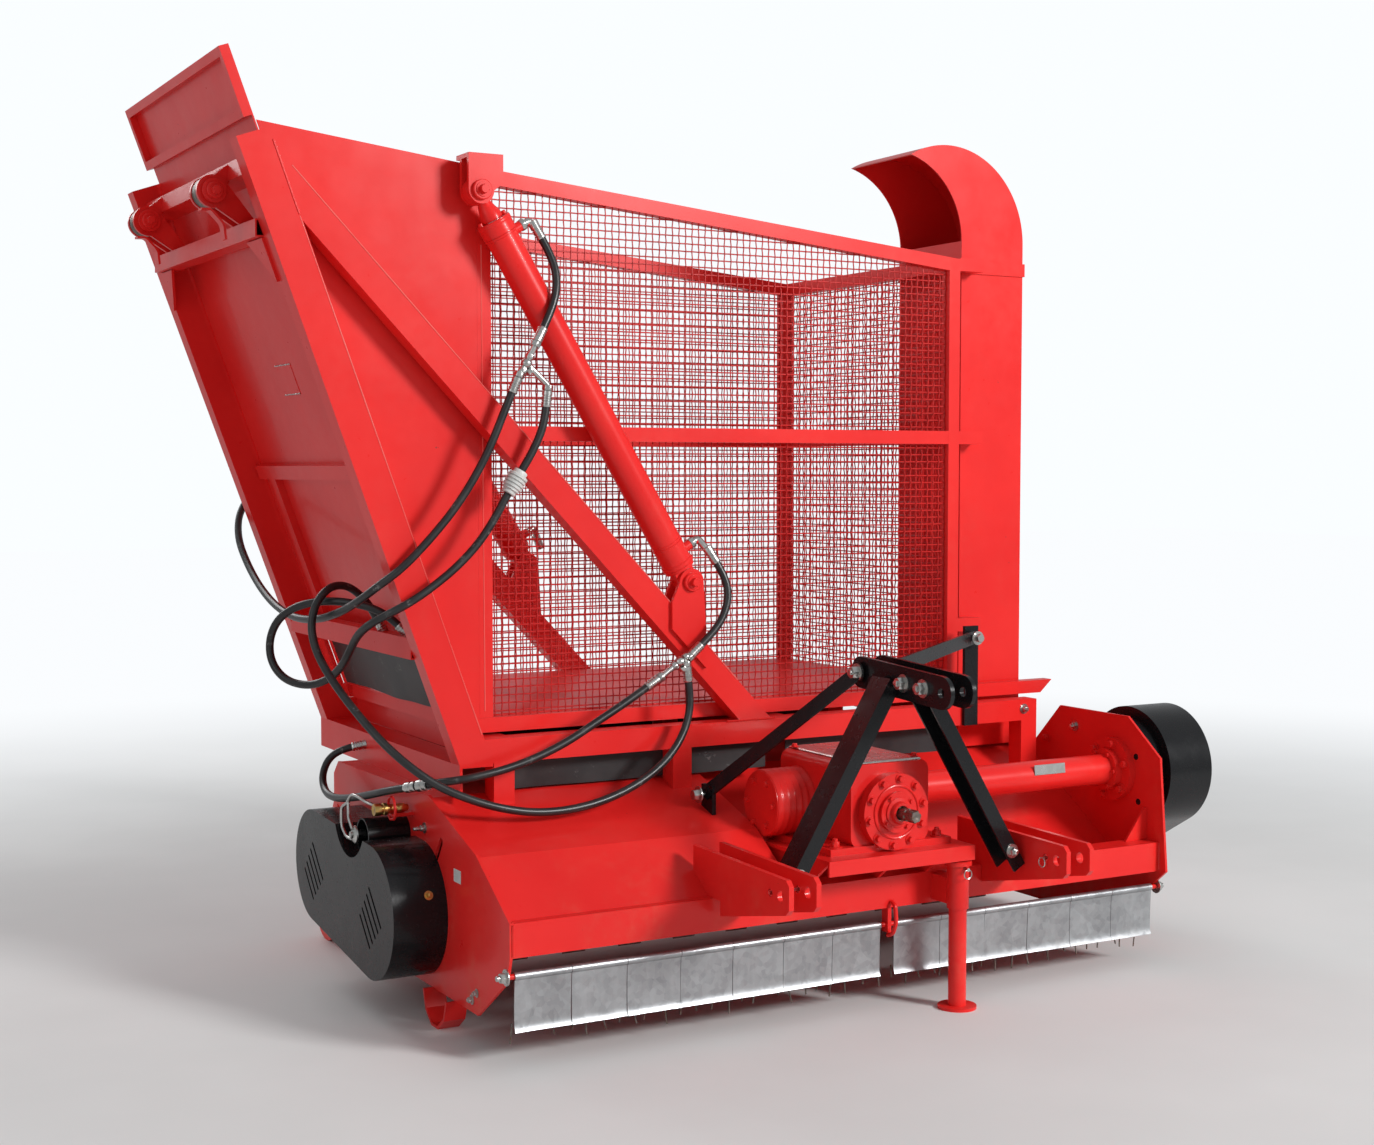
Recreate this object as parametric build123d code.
from build123d import *
import math
import os

# Mounted flail forage harvester with a high-tipping mesh hopper.
#
# Axes while modelling: X along the rotor (to the right when the hitch is looked at),
# Y from the hitch towards the rear roller, Z up from the ground.  Millimetres.
# Every node is moved by one shift at the end, so that the origin lies under the
# middle of the whole machine.

# ---------------------------------------------------------------- whole machine
MACHINE_WIDTH = 2100        # over the outer faces of the end plates
PLATE = 8                   # end plates
SHEET = 5                   # hood and trough sheet
HOPPER_SHEET = 4
FIT = 0.1                   # radial clearance of a shaft in its bore
RUNNING_GAP = 8             # between moving frames that pass each other
HALF = MACHINE_WIDTH / 2
INNER = HALF - PLATE        # inner faces of the end plates

# ---------------------------------------------------------------- front beam
BEAM_LOW = 275
BEAM_HIGH = 361
BEAM_DEPTH = 80
BEAM_WALL = 6

# ---------------------------------------------------------------- housing
HOOD_TOP = 590
HOOD_FOLD_Y = 213
HOOD_FOLD_Z = 485
HOOD_TOP_Y = 530
HOOD_FRONT_Y = 30
HOOD_SPLIT_X = -225         # left of it the hood is full, right of it recessed
LEDGE_Z = 320
LEDGE_Y = 220
RECESS_TOP_Y = 630
PLATE_BOTTOM = 85
SLOT_TOP = (441, 487)       # ends of the slanted slot of the left end plate, as (y, z)
SLOT_FOOT = (512, 384)
SLOT_WIDTH = 22

# ---------------------------------------------------------------- rotor and auger trough
ROTOR_Y = 575
ROTOR_Z = 290
ROTOR_R = 205               # over the flail tips
ROTOR_TUBE_R = 60
ROTOR_SHAFT_R = 25
AUGER_Y = 1045
AUGER_Z = 330
TROUGH_R = 210
FLAIL_ROWS = 4
FLAILS_PER_ROW = 11
FLAIL_WIDTH = 70
FLAIL_THICK = 10

# ---------------------------------------------------------------- front flaps
FLAP_COUNT_LEFT = 7
FLAP_COUNT_RIGHT = 6
FLAP_GAP = 3
FLAP_GROUP_GAP = 45
FLAP_THICK = 4
FLAP_ROD_Y = 20
FLAP_ROD_Z = 225
FLAP_ROD_R = 7
FLAP_EYE_R = 12
FLAP_BOTTOM = 85
FLAP_END_GAP = 12           # between the end plates and the first flap

# ---------------------------------------------------------------- rear roller
ROLLER_Y = 1470
ROLLER_R = 100
ROLLER_SHAFT_R = 15
ROLLER_WALL = 6
ARM_THICK = 12
ARM_R = 58                  # round lower end of the roller's arms

# ---------------------------------------------------------------- skids
SKID_WIDTH = 60
SKID_THICK = 8
SKID_MIDDLE = 430
SKID_FLAT = 44              # length that lies on the ground
SKID_KNEE = 66              # half length at the height SKID_KNEE_Z
SKID_KNEE_Z = 32
SKID_TOP = 84               # half length where the loop meets its plate

# ---------------------------------------------------------------- hitch
EAR_X = 430                 # middle of each lower ear pair
EAR_GAP = 65
EAR_THICK = 14
EAR_PIN_Y = -320
EAR_PIN_Z = 430
EAR_PIN_R = 14.4
EAR_HALF_HEIGHT = 43
MAST_GAP = 56
MAST_THICK = 12
MAST_R = 42
MAST_REAR_Y = -20
MAST_REAR_Z = 925
MAST_FRONT_Y = -375
MAST_FRONT_Z = 905
TOP_PIN_R = 12.75
MAST_BOLTS_Y = (-300, -215)
MAST_BOLT_R = 10
LEG_DEPTH = 80
LEG_WIDTH = 40
LEG_WALL = 6
LEG_FOOT_Y = -150
STAY_WIDTH = 40
STAY_THICK = 8
LUG_X = -310                # lug of the left stay on the hood
LUG_Y = 330
UPRIGHT_X = 690             # upright of the right stay on the base frame
UPRIGHT_TOP = 985

# ---------------------------------------------------------------- gearbox and drive tube
SHAFT_Z = 555               # input shaft, drive tube and right belt cover
SHAFT_X = 30                # input shaft
DRIVE_Y = 200               # drive tube
DRIVE_TUBE_R = 45
DRIVE_FLANGE_R = 95
GEARBOX_FRONT = -60
GEARBOX_REAR = 290
GEARBOX_LEFT = -95
GEARBOX_RIGHT = 155
GEARBOX_LOW = 462
GEARBOX_HIGH = 685
CAST_WALL = 14
FLANGE_R = 103
FLANGE_THICK = 30
CAP_R = 98
CAP_LEFT = -215
PTO_R = 17.45
PTO_LENGTH = 76
TABLE_Z = 440
TABLE_THICK = 10
TABLE_LEFT = -205
TABLE_RIGHT = 265
TABLE_FRONT = -125
TABLE_REAR = 260

# ---------------------------------------------------------------- parking jack
JACK_X = 236
JACK_Y = -88
JACK_TUBE_R = 24.5
JACK_SLEEVE_R = 30
JACK_SLEEVE_LOW = 275
JACK_SLEEVE_HIGH = 405
JACK_TOP = 322
JACK_FOOT_R = 53
JACK_TRAVEL = 95

# ---------------------------------------------------------------- belt covers
COVER_WALL = 4
LEFT_COVER_DEPTH = 150
LEFT_FRONT_R = 180
LEFT_REAR_R = 160
LOUVRES = 5                 # slots in each lobe of the left cover
LOUVRE_LENGTH = 130
LOUVRE_TAPER = 5            # how much shorter each slot is than the one before it
LOUVRE_WIDTH = 9
LOUVRE_PITCH = 28
LOUVRE_TILT = 45
LOUVRE_DROP = 20            # from a lobe's middle down to the middle of its slots
SADDLE = (735, 535)         # middle of the round hollow between the left cover's lobes
SADDLE_R = 125
HOLDER_Y = 710              # tube that holds loose fittings
HOLDER_Z = 468
HOLDER_R = 50
HOLDER_LENGTH = 120
RIGHT_COVER_GAP = 50         # between the right end plate and the deep part of its cover
RIGHT_COVER_DEPTH = 165
RIGHT_FRONT_R = 185
RIGHT_REAR_R = 150
RIGHT_NECK = 30             # how far the neck behind the right cover is drawn in

# ---------------------------------------------------------------- base frame and tip frame
FRAME_Y = 460               # front face of the front frame
FRAME_DEPTH = 60
HOPPER_DEPTH = 1000
HOPPER_GAP = 12             # between a frame and the hopper beside it
BASE_LOW = 680
BASE_HIGH = 745
BASE_RIGHT = 955
CROSS_WIDTH = 60
FRAME_WALL = 4
COLUMN_FOOT_X = -988        # outer corner of a column's foot
COLUMN_LEAN = math.radians(19.85)
COLUMN_WIDTH = 90
COLUMN_TOP = 2290
DIAGONAL_FOOT_X = -74
DIAGONAL_TOP_X = -1450
DIAGONAL_TOP_Z = 2192
DIAGONAL_WIDTH = 75
CROSS_X = (-890, 0, 640)    # left faces of the cross beams
GUSSET_FOOT_Z = 380
LOW_RAIL_Z = 990
LOW_RAIL_WIDTH = 50
HINGE_RAIL_TOP = 2090
HINGE_RAIL_HEIGHT = 45
HINGE_RAIL_WIDTH = 50
RAIL_GUSSET_WIDE = 130
RAIL_GUSSET_TALL = 115
APRON_THICK = 5
REAR_APRON_Y = 1225
PIVOT_X = -1570
PIVOT_Z = 2170
PIVOT_R = 14
KNUCKLE_R = 32
KNUCKLE_WIDTH = 46
CHEEK_THICK = 12
CHEEK_R = 42
HINGE_INSET = 160           # from the hopper's front and rear faces to a hinge's middle

# ---------------------------------------------------------------- hopper
RAIL = 40
RAIL_WALL = 3
HOPPER_LOW = 753
HOPPER_RIGHT = 700
HOPPER_PANEL_X = -860       # right edge of the plain front and rear sheets
HOPPER_MID_Z = 1580
HOPPER_TOP_RIGHT = 2106
HOPPER_TOP_LEFT = 2338
HOPPER_KNEE_Z = 2262        # top edge above HOPPER_PANEL_X
LIP_LENGTH = 190
MESH_THICK = 4
WALL_OVERLAP = 10           # how far the leaning wall stands behind the columns' inner edge
LEFT_WALL_LOW = 945
RIB_Z = 1440
RIB_HEIGHT = 22
STIFFENER_LOW = 1035        # lower end of the wall's two posts
STIFFENER_WIDTH = 45
STIFFENER_INSET = 110

# ---------------------------------------------------------------- blower duct
DUCT_LEFT = 750
DUCT_RIGHT = 990
DUCT_SETBACK = 60           # from the hopper's front face
DUCT_DEPTH = 326
DUCT_WALL = 4
DUCT_TOP = 2110
TRAY_THICK = 8
TRAY_RIGHT = 1075
DUCT_BAND = 40
HOOD_OUTER_R = 290
HOOD_INNER_R = 260
HOOD_AXIS_Z = 2170
HOOD_TIP_X = 530

# ---------------------------------------------------------------- tip cylinders
CYL_LOW_X = -291
CYL_LOW_Z = 1148
CYL_HIGH_X = -921
CYL_HIGH_Z = 2193
TIP_ANGLE = math.radians(110)
BARREL_R = 44
BORE_R = 37
ROD_R = 27
EYE_R = 38
EYE_WIDTH = 36
EYE_GAP = 0.3               # each side of an eye between its lugs
CYL_PIN_R = 17
BARREL_TAIL = 44            # from the lower pin to the barrel's closed end
BARREL_CAP = 14             # thickness of the barrel's closed end
BARREL_HEAD = 86            # from the closed cylinder's upper pin to the gland's face
GLAND_LENGTH = 40
PISTON_LENGTH = 25
GLAND_R = 47
ROD_NECK = 48               # from the upper pin to the rod's full section
LUG_THICK = 12
EAR_TOP = 95                # from the upper pin to the top of the hopper's ears
EAR_SIDE = 52               # from the upper pin to the web between the ears
WELD = 0.3                  # gap left between the members of one frame

# ---------------------------------------------------------------- hoses
HOSE_R = 11
FERRULE_R = 14
FERRULE = 34
SLEEVE_GAP = 0.5            # radial room of a sleeve round its hose
PIPE_R = 9                  # steel elbows
ELBOW_BEND = 18
ARC_SHARE = 0.45            # of the shorter run, taken by each bend of a hose
TOP_PORT = 1085             # from the lower pin along the barrel
LOW_PORT = 85
HIGH_TEE = (-812, 411, 1742)
LOW_TEE = (-350, 411, 930)
RESTRICTOR_RUN = 3          # run of the third hose that carries the restrictor
COUPLING_RUN = 8            # run of the fifth hose that carries the two couplings

# Points of each hose, from where it leaves the machine to its far end.
HOSE_ROUTES = {
    "hose_1": [(-745, 470, 2088), (-718, 458, 2037), (-708, 438, 1972), (-727, 420, 1896),
               (-768, 411, 1826)],
    "hose_2": [(-850, 410, 1675), (-875, 411, 1618), (-910, 414, 1532), (-955, 418, 1446),
               (-1012, 420, 1362), (-1082, 421, 1283), (-1158, 425, 1208), (-1212, 466, 1160),
               (-1232, 540, 1122), (-1245, 650, 1085), (-1256, 800, 1055), (-1262, 980, 1045),
               (-1262, 1160, 1065), (-1258, 1330, 1110), (-1254, 1480, 1175),
               (-1250, 1600, 1255), (-1220, 1675, 1340), (-1140, 1698, 1425),
               (-1035, 1701, 1515), (-935, 1698, 1615), (-850, 1694, 1715),
               (-785, 1685, 1810), (-738, 1662, 1900), (-712, 1632, 1974),
               (-718, 1606, 2037), (-745, 1594, 2088)],
    "hose_3": [(-755, 410, 1640), (-760, 410, 1588), (-788, 411, 1522), (-826, 413, 1460),
               (-866, 417, 1398), (-900, 420, 1335), (-948, 420, 1268), (-1010, 420, 1208),
               (-1075, 420, 1160), (-1135, 421, 1122), (-1188, 442, 1092), (-1220, 496, 1064),
               (-1230, 565, 1030), (-1228, 628, 986), (-1230, 690, 935), (-1248, 755, 893),
               (-1284, 825, 872), (-1326, 890, 885), (-1352, 930, 932), (-1354, 938, 996),
               (-1336, 908, 1056), (-1296, 848, 1094), (-1245, 782, 1108), (-1190, 726, 1104),
               (-1138, 682, 1088), (-1100, 654, 1060), (-1079, 642, 1036)],
    "hose_4": [(-220, 445, 1210), (-193, 432, 1163), (-186, 422, 1105), (-208, 415, 1048),
               (-248, 411, 1002), (-292, 410, 966)],
    "hose_5": [(-445, 410, 870), (-520, 409, 826), (-605, 406, 782), (-695, 402, 734),
               (-785, 400, 698), (-870, 400, 674), (-945, 400, 661), (-1010, 406, 652),
               (-1052, 452, 642), (-1122, 635, 600), (-1128, 750, 573), (-1131, 870, 547),
               (-1131, 985, 526), (-1128, 1090, 514), (-1122, 1172, 520), (-1112, 1226, 556),
               (-1088, 1238, 604), (-1050, 1222, 632), (-1012, 1205, 640)],
    "hose_6": [(-325, 410, 885), (-316, 409, 822), (-333, 400, 756), (-374, 386, 696),
               (-440, 368, 644), (-530, 350, 602), (-632, 336, 573), (-735, 330, 560),
               (-832, 330, 562), (-922, 336, 580), (-1005, 350, 608), (-1082, 374, 645),
               (-1146, 402, 694), (-1198, 450, 750), (-1232, 520, 808), (-1260, 598, 868),
               (-1282, 672, 930), (-1296, 722, 990), (-1298, 744, 1050), (-1280, 752, 1106),
               (-1240, 762, 1146), (-1190, 776, 1150), (-1144, 788, 1122), (-1110, 790, 1082),
               (-1088, 790, 1040)],
}

# ---------------------------------------------------------------- loose coupler
COUPLER_Y = 650
COUPLER_Z = 548
COUPLER_R = 13
COUPLER_LENGTH = 98
COUPLER_OUT = 12            # from the left end plate to the coupler's inner end


# ================================================================ small shapes
def block(x0, x1, y0, y1, z0, z1):
    """A box between two corners."""
    return Pos(x0, y0, z0) * Box(x1 - x0, y1 - y0, z1 - z0, align=(Align.MIN,) * 3)


def shell(x0, x1, y0, y1, z0, z1, wall):
    """A closed hollow box between two corners."""
    return block(x0, x1, y0, y1, z0, z1) - block(
        x0 + wall, x1 - wall, y0 + wall, y1 - wall, z0 + wall, z1 - wall)


def along_x(shape, x0, x1):
    """A flat shape in (y, z) carried along X."""
    return extrude(Plane.YZ.offset(x0) * shape, x1 - x0, dir=(1, 0, 0))


def along_y(shape, y0, y1):
    """A flat shape in (x, z) carried along Y."""
    return extrude(Plane.XZ.offset(-y0) * shape, y1 - y0, dir=(0, 1, 0))


def slab_x(outline, x0, x1):
    """A (y, z) outline carried along X."""
    return along_x(Polygon(*outline, align=None), x0, x1)


def slab_y(outline, y0, y1):
    """An (x, z) outline carried along Y."""
    return along_y(Polygon(*outline, align=None), y0, y1)


def drum_x(y, z, r, x0, x1):
    """A round bar along X."""
    return along_x(Pos(y, z) * Circle(r), x0, x1)


def drum_y(x, z, r, y0, y1):
    """A round bar along Y."""
    return along_y(Pos(x, z) * Circle(r), y0, y1)


def drum_z(x, y, r, z0, z1):
    """A round bar along Z."""
    return Pos(x, y, z0) * Cylinder(r, z1 - z0, align=(Align.CENTER, Align.CENTER, Align.MIN))


def bar(start, end, width, depth, wall=0, across=(0, 1, 0)):
    """A bar or box tube from start to end; depth runs along the direction across."""
    along = Vector(*end) - Vector(*start)
    plane = Plane(origin=start, x_dir=across, z_dir=along.normalized())
    section = Rectangle(depth, width)
    if wall:
        section -= Rectangle(depth - 2 * wall, width - 2 * wall)
    return extrude(plane * section, along.length)


def round_bar(start, end, r, bore=0):
    """A round bar or tube from start to end."""
    along = Vector(*end) - Vector(*start)
    section = Circle(r)
    if bore:
        section -= Circle(bore)
    return extrude(Plane(origin=start, z_dir=along.normalized()) * section, along.length)


def offset_path(points, distance):
    """The points moved to the left of the path by distance, with mitred corners."""
    moved = []
    for i, (a, b) in enumerate(points):
        before = points[max(i - 1, 0)]
        after = points[min(i + 1, len(points) - 1)]
        ways = []
        for p, q in ((before, (a, b)), ((a, b), after)):
            length = math.hypot(q[0] - p[0], q[1] - p[1])
            if length:
                ways.append((-(q[1] - p[1]) / length, (q[0] - p[0]) / length))
        nx = sum(w[0] for w in ways) / len(ways)
        ny = sum(w[1] for w in ways) / len(ways)
        scale = distance / (nx * nx + ny * ny)
        moved.append((a + nx * scale, b + ny * scale))
    return moved


def strip(points, thick):
    """The outline of a sheet folded along the points, its thickness to their right."""
    return points + offset_path(points, -thick)[::-1]


def lobes(a, ra, b, rb):
    """A flat figure round two circles and their common tangents."""
    return make_hull((Pos(*a) * Circle(ra)).edges() + (Pos(*b) * Circle(rb)).edges())


def all_of(*shapes):
    """Separate solids of one node."""
    solids = []
    for shape in shapes:
        solids += shape.solids()
    return Compound(children=solids)


def both_sides(shape):
    """A shape and its mirror image across the middle plane of the hopper."""
    return all_of(shape, mirror(shape, Plane.XZ.offset(-FRAME_MID)))


# ================================================================ derived places
HOPPER_Y0 = FRAME_Y + FRAME_DEPTH + HOPPER_GAP
HOPPER_Y1 = HOPPER_Y0 + HOPPER_DEPTH
REAR_FRAME_Y = HOPPER_Y1 + HOPPER_GAP
FRAME_MID = (HOPPER_Y0 + HOPPER_Y1) / 2
HOUSING_BACK = AUGER_Y + TROUGH_R
CYL_Y = FRAME_Y + EYE_GAP + EYE_WIDTH / 2
RIGHT_COVER_IN = HALF + RIGHT_COVER_GAP
RIGHT_COVER_OUT = RIGHT_COVER_IN + RIGHT_COVER_DEPTH
ROD_START = BARREL_TAIL + BARREL_CAP + 1
TABLE_TOP = TABLE_Z + TABLE_THICK
OUTLET_TOP = HOPPER_LOW - RUNNING_GAP


def column_outer(z):
    """X of the columns' outer edge at a height."""
    return COLUMN_FOOT_X - (z - BASE_LOW) * math.tan(COLUMN_LEAN)


def column_inner(z):
    """X of the columns' inner edge at a height."""
    return column_outer(z) + COLUMN_WIDTH / math.cos(COLUMN_LEAN)


def left_hood_z(y):
    """Height of the left hood's outer face at y."""
    if y < HOOD_FOLD_Y:
        slope = (HOOD_FOLD_Z - BEAM_HIGH) / (HOOD_FOLD_Y - HOOD_FRONT_Y)
        return BEAM_HIGH + slope * (y - HOOD_FRONT_Y)
    slope = (HOOD_TOP - HOOD_FOLD_Z) / (HOOD_TOP_Y - HOOD_FOLD_Y)
    return min(HOOD_FOLD_Z + slope * (y - HOOD_FOLD_Y), HOOD_TOP)


LEFT_HOOD = [
    (HOOD_FRONT_Y, BEAM_HIGH),
    (HOOD_FOLD_Y, HOOD_FOLD_Z),
    (HOOD_TOP_Y, HOOD_TOP),
    (HOUSING_BACK, HOOD_TOP),
]
RIGHT_HOOD = [
    (BEAM_DEPTH, LEDGE_Z),
    (LEDGE_Y, LEDGE_Z),
    (RECESS_TOP_Y, HOOD_TOP),
    (HOUSING_BACK, HOOD_TOP),
]
PLATE_REAR = [
    (HOUSING_BACK + 5, HOOD_TOP),
    (HOUSING_BACK + 45, HOOD_TOP - 40),
    (HOUSING_BACK + 45, ROTOR_Z),
    (HOUSING_BACK - 40, PLATE_BOTTOM + 30),
    (HOUSING_BACK - 80, PLATE_BOTTOM),
]
LEFT_PLATE = [
    (200, PLATE_BOTTOM), (20, 211), (HOOD_FRONT_Y - 30, BEAM_LOW),
    (HOOD_FRONT_Y - 30, BEAM_HIGH),
    (HOOD_FOLD_Y - 4, HOOD_FOLD_Z + 8), (HOOD_TOP_Y, HOOD_TOP + 8),
] + PLATE_REAR
RIGHT_PLATE = [
    (200, PLATE_BOTTOM), (100, 168), (-30, 277), (0, 610), (140, 720), (450, 720),
    (HOOD_TOP_Y + 40, HOOD_TOP + 8),
] + PLATE_REAR


# ================================================================ housing
def plate_slot():
    """Slanted slot through the left end plate."""
    dy = SLOT_FOOT[0] - SLOT_TOP[0]
    dz = SLOT_FOOT[1] - SLOT_TOP[1]
    slot = SlotCenterToCenter(math.hypot(dy, dz), SLOT_WIDTH)
    turned = Rot(0, 0, math.degrees(math.atan2(dz, dy))) * slot
    middle = Pos(SLOT_TOP[0] + dy / 2, SLOT_TOP[1] + dz / 2)
    return along_x(middle * turned, -HALF - 1, -INNER + 1)


def end_plate(outline, x0):
    """One end plate, with the bores of the rotor shaft and of the flap rod."""
    plate = slab_x(outline, x0, x0 + PLATE)
    plate -= drum_x(ROTOR_Y, ROTOR_Z, ROTOR_SHAFT_R + FIT, x0 - 1, x0 + PLATE + 1)
    return plate - drum_x(FLAP_ROD_Y, FLAP_ROD_Z, FLAP_ROD_R, x0 - 1, x0 + PLATE + 1)


def front_beam():
    """Closed box beam across the front."""
    outer = block(-INNER, INNER, 0, BEAM_DEPTH, BEAM_LOW, BEAM_HIGH)
    inner = block(-INNER + BEAM_WALL, INNER - BEAM_WALL, BEAM_WALL, BEAM_DEPTH - BEAM_WALL,
                  BEAM_LOW + BEAM_WALL, BEAM_HIGH - BEAM_WALL)
    return outer - inner


def left_hood():
    """Sloping front sheet with its web down to the recessed right part."""
    sheet = slab_x(strip(LEFT_HOOD, SHEET), -INNER, HOOD_SPLIT_X)
    fold = [(BEAM_DEPTH, left_hood_z(BEAM_DEPTH))] + LEFT_HOOD[1:3]
    web = slab_x(fold + [RIGHT_HOOD[2], RIGHT_HOOD[1], RIGHT_HOOD[0]],
                 HOOD_SPLIT_X, HOOD_SPLIT_X + SHEET)
    return sheet + web - block(-HALF, HALF, -50, BEAM_DEPTH, 0, BEAM_HIGH)


def right_hood():
    """Ledge and slope behind the drive tube."""
    return slab_x(strip(RIGHT_HOOD, SHEET), HOOD_SPLIT_X + SHEET, INNER)


def rear_trough():
    """Back wall that runs down into the round auger trough."""
    ring = Pos(AUGER_Y, AUGER_Z) * (Circle(TROUGH_R) - Circle(TROUGH_R - SHEET))
    lower = Pos(AUGER_Y, AUGER_Z - TROUGH_R) * Rectangle(2 * TROUGH_R, 2 * TROUGH_R)
    trough = along_x(ring & lower, -INNER, INNER)
    wall = block(-INNER, INNER, HOUSING_BACK - SHEET, HOUSING_BACK, AUGER_Z, HOOD_TOP - SHEET)
    return trough + wall


def fan_outlet():
    """Short chute from the fan up to just under the duct."""
    y0 = HOPPER_Y0 + DUCT_SETBACK
    outer = block(DUCT_LEFT, DUCT_RIGHT, y0, y0 + DUCT_DEPTH, HOOD_TOP, OUTLET_TOP)
    inner = block(DUCT_LEFT + DUCT_WALL, DUCT_RIGHT - DUCT_WALL, y0 + DUCT_WALL,
                  y0 + DUCT_DEPTH - DUCT_WALL, HOOD_TOP - 1, OUTLET_TOP + 1)
    ear = slab_y([(DUCT_RIGHT, HOOD_TOP), (DUCT_RIGHT + 60, HOOD_TOP + 40),
                  (DUCT_RIGHT + 60, OUTLET_TOP - 30), (DUCT_RIGHT, OUTLET_TOP - 30)],
                 y0, y0 + DUCT_WALL)
    return outer - inner + ear


def skid(x):
    """Looped shoe under one end plate."""
    half = [(SKID_TOP, PLATE_BOTTOM), (SKID_KNEE, SKID_KNEE_Z), (SKID_FLAT / 2, 0)]
    path = [(SKID_MIDDLE + y, z) for y, z in half]
    path += [(SKID_MIDDLE - y, z) for y, z in half[::-1]]
    cut = block(-2 * HALF, 2 * HALF, 0, 2 * HOUSING_BACK, PLATE_BOTTOM, PLATE_BOTTOM + 100)
    return slab_x(strip(path, SKID_THICK), x - SKID_WIDTH / 2, x + SKID_WIDTH / 2) - cut


def roller_arm(x0):
    """Plate that carries one end of the rear roller."""
    outline = Pos(ROLLER_Y, ROLLER_R) * Circle(ARM_R)
    outline += Polygon((HOUSING_BACK + 5, 480), (HOUSING_BACK + 60, 480),
                       (ROLLER_Y + ARM_R - 3, ROLLER_R + 18), (ROLLER_Y - ARM_R + 12, 65),
                       (HOUSING_BACK + 5, 230), align=None)
    arm = along_x(outline, x0, x0 + ARM_THICK)
    return arm - drum_x(ROLLER_Y, ROLLER_R, ROLLER_SHAFT_R + FIT, x0 - 1, x0 + ARM_THICK + 1)


def rear_roller():
    """Hollow roller with stub shafts."""
    end = INNER - ARM_THICK - 8
    tube = drum_x(ROLLER_Y, ROLLER_R, ROLLER_R, -end, end)
    tube -= drum_x(ROLLER_Y, ROLLER_R, ROLLER_R - ROLLER_WALL, -end + 10, end - 10)
    for x0, x1 in ((-INNER, -end), (end, INNER)):
        tube += drum_x(ROLLER_Y, ROLLER_R, ROLLER_SHAFT_R, x0, x1)
    return tube


# ================================================================ rotor and flaps
def rotor_tube():
    """Rotor tube with a stub shaft in each end plate."""
    end = INNER - 20
    tube = drum_x(ROTOR_Y, ROTOR_Z, ROTOR_TUBE_R, -end, end)
    tube -= drum_x(ROTOR_Y, ROTOR_Z, ROTOR_TUBE_R - 9, -end + 20, end - 20)
    return tube + drum_x(ROTOR_Y, ROTOR_Z, ROTOR_SHAFT_R, -HALF - 1, HALF + 1)


def rotor_flails():
    """Rows of bent flails, each row set half a pitch from the last."""
    pitch = 2 * (INNER - 60) / FLAILS_PER_ROW
    flails = []
    for row in range(FLAIL_ROWS):
        for i in range(FLAILS_PER_ROW):
            x = -INNER + 60 + pitch * (i + 0.25 + 0.5 * (row % 2))
            stem = block(-FLAIL_WIDTH / 2, FLAIL_WIDTH / 2, -FLAIL_THICK / 2, FLAIL_THICK / 2,
                         ROTOR_TUBE_R + WELD, ROTOR_R - 25)
            tip = slab_x([(-FLAIL_THICK / 2, ROTOR_R - 45), (FLAIL_THICK / 2, ROTOR_R - 45),
                          (30, ROTOR_R - 12), (24, ROTOR_R - 6)],
                         -FLAIL_WIDTH / 2, FLAIL_WIDTH / 2)
            place = Pos(x, ROTOR_Y, ROTOR_Z) * Rot(360 / FLAIL_ROWS * row + 20, 0, 0)
            flails.append(place * (stem + tip))
    return all_of(*flails)


def flap_lefts():
    """X of each flap's left edge, and the flap width."""
    count = FLAP_COUNT_LEFT + FLAP_COUNT_RIGHT
    room = 2 * (INNER - FLAP_END_GAP) - FLAP_GROUP_GAP
    pitch = room / count
    start = -INNER + FLAP_END_GAP
    lefts = []
    for i in range(count):
        extra = FLAP_GROUP_GAP if i >= FLAP_COUNT_LEFT else 0
        lefts.append(start + extra + pitch * i)
    return lefts, pitch - FLAP_GAP


def flap(x, width):
    """One sheet flap hanging from its rolled eye."""
    eye = drum_x(FLAP_ROD_Y, FLAP_ROD_Z, FLAP_EYE_R, x, x + width)
    sheet = block(x, x + width, FLAP_ROD_Y - FLAP_THICK / 2, FLAP_ROD_Y + FLAP_THICK / 2,
                  FLAP_BOTTOM, FLAP_ROD_Z - FLAP_ROD_R)
    return eye + sheet - drum_x(FLAP_ROD_Y, FLAP_ROD_Z, FLAP_ROD_R + FIT, x - 1, x + width + 1)


def flap_group(first, last):
    """Flaps from first up to, not including, last."""
    lefts, width = flap_lefts()
    return all_of(*[flap(x, width) for x in lefts[first:last]])


def flap_rod():
    """Rod through both end plates, held by hangers under the beam."""
    lefts, width = flap_lefts()
    middle = lefts[FLAP_COUNT_LEFT] - FLAP_GROUP_GAP / 2
    rod = drum_x(FLAP_ROD_Y, FLAP_ROD_Z, FLAP_ROD_R, -HALF, HALF)
    hanger = block(middle - 6, middle + 6, FLAP_ROD_Y - 14, FLAP_ROD_Y + 14,
                   FLAP_ROD_Z - 20, BEAM_LOW)
    return rod + hanger


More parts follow.
